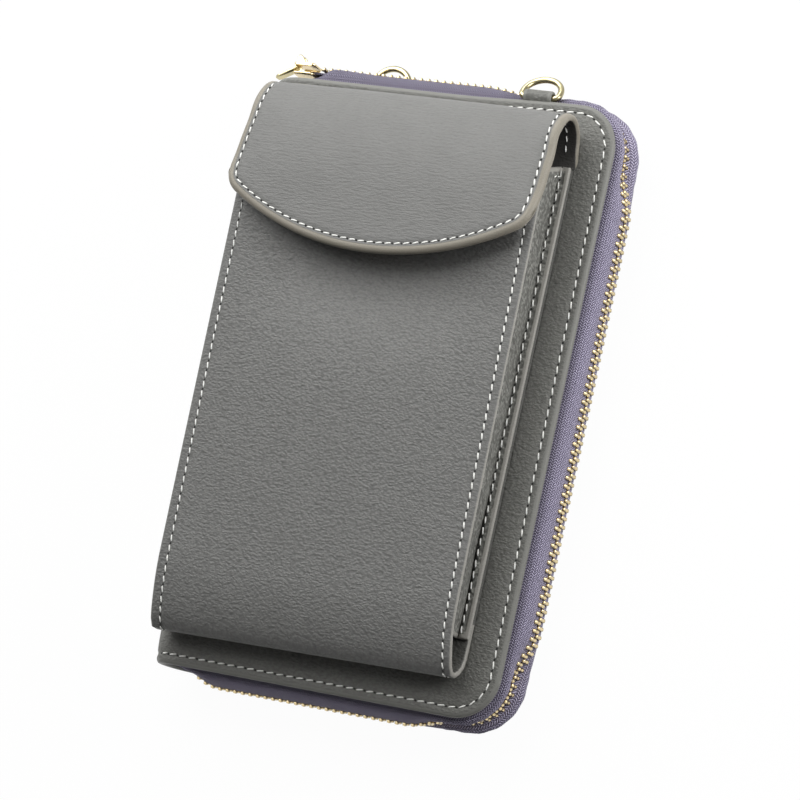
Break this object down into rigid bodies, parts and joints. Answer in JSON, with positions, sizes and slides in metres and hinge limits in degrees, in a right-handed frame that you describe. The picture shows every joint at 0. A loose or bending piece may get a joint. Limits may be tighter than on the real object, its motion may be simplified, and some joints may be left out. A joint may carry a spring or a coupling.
{
  "type": "zip-around phone wallet",
  "caption": "Zip-around wallet with a gusseted phone pocket under a snap flap, card slots, a zipped coin pocket and rings for a strap.",
  "frame": {"origin": "centre of the back cover's outer face, which rests on a table", "axes": "+X to the zip side, +Y to the ring end, +Z out of the front, where the phone pocket is"},
  "size_m": [0.1242, 0.1976, 0.0468],
  "materials": {
    "cover_leather": "fine-grained, semi-matt",
    "pocket_leather": "fine-grained, semi-matt, painted edges",
    "card_leather": "smooth, semi-matt",
    "zip_tape": "herringbone weave",
    "lining": "plain weave",
    "board": "plain board",
    "foam": "soft padding",
    "zip_brass": "polished gold-coloured plating",
    "pale_gold": "polished pale gold plating"
  },
  "bodies": {
    "back_half": {"back_cover": "cover_leather", "back_stiffener": "board", "back_padding": "foam", "back_lining": "lining", "zip_tape_back": "zip_tape", "zip_teeth_back": "zip_brass", "zip_bottom_stop": "zip_brass", "back_ring_tab": "cover_leather", "card_slot_1": "card_leather", "card_slot_2": "card_leather", "card_slot_3": "card_leather", "card_slot_4": "card_leather", "card_slot_5": "card_leather", "card_slot_6": "card_leather"},
    "front_half": {"front_cover": "cover_leather", "front_stiffener": "board", "front_padding": "foam", "front_lining": "lining", "zip_tape_front": "zip_tape", "zip_teeth_front": "zip_brass", "front_ring_tab": "cover_leather", "coin_pocket": "lining", "coin_teeth_upper": "zip_brass", "coin_teeth_lower": "zip_brass", "coin_tape_upper": "zip_tape", "coin_tape_lower": "zip_tape", "pocket_front": "pocket_leather", "pocket_back": "pocket_leather", "flap_fold": "pocket_leather", "gusset_left": "pocket_leather", "gusset_right": "pocket_leather", "pocket_lining": "lining", "snap_socket": "zip_brass"},
    "flap_body": {"flap": "pocket_leather", "flap_lining": "pocket_leather", "snap_stud": "zip_brass"},
    "front_ring_body": {"front_ring": "pale_gold"},
    "back_ring_body": {"back_ring": "pale_gold"},
    "zip_slider_body": {"zip_slider": "zip_brass"},
    "zip_pull_body": {"zip_pull": "pale_gold"},
    "coin_slider_body": {"coin_slider": "zip_brass"},
    "coin_pull_body": {"coin_pull": "zip_brass"}
  },
  "joints": [
    {"name": "wallet_open", "type": "hinge", "parent": "back_half", "child": "front_half", "pos_m": [-0.057, 0, 0.011], "axis": [0, -1, 0], "range_deg": [0, 150]},
    {"name": "flap_open", "type": "hinge", "parent": "front_half", "child": "flap_body", "pos_m": [-0.0025, 0.077, 0.0311], "axis": [-1, 0, 0], "range_deg": [0, 135], "deforming": ["flap_fold"]},
    {"name": "front_ring_swing", "type": "hinge", "parent": "front_half", "child": "front_ring_body", "pos_m": [0.0296, 0.0932, 0.01935], "axis": [1, 0, 0], "range_deg": [-3, 80]},
    {"name": "back_ring_swing", "type": "hinge", "parent": "back_half", "child": "back_ring_body", "pos_m": [-0.026, 0.094, 0.00265], "axis": [1, 0, 0], "range_deg": [-80, 15]},
    {"name": "zip_slide", "type": "slide", "parent": "back_half", "child": "zip_slider_body", "axis": [1, 0, 0], "range_m": [0, 0.06]},
    {"name": "zip_pull_swing", "type": "hinge", "parent": "zip_slider_body", "child": "zip_pull_body", "pos_m": [-0.0537, 0.0997, 0.011], "axis": [0, 0, -1], "range_deg": [0, 190]},
    {"name": "coin_slide", "type": "slide", "parent": "front_half", "child": "coin_slider_body", "axis": [1, 0, 0], "range_m": [0, 0.06]},
    {"name": "coin_pull_swing", "type": "hinge", "parent": "coin_slider_body", "child": "coin_pull_body", "pos_m": [-0.0314, 0.06, 0.0106], "axis": [0, -1, 0], "range_deg": [0, 20]}
  ],
  "couplings": [
    {"joint": "zip_pull_swing", "follows": "zip_slide", "rad_per_m": 55.2}
  ]
}
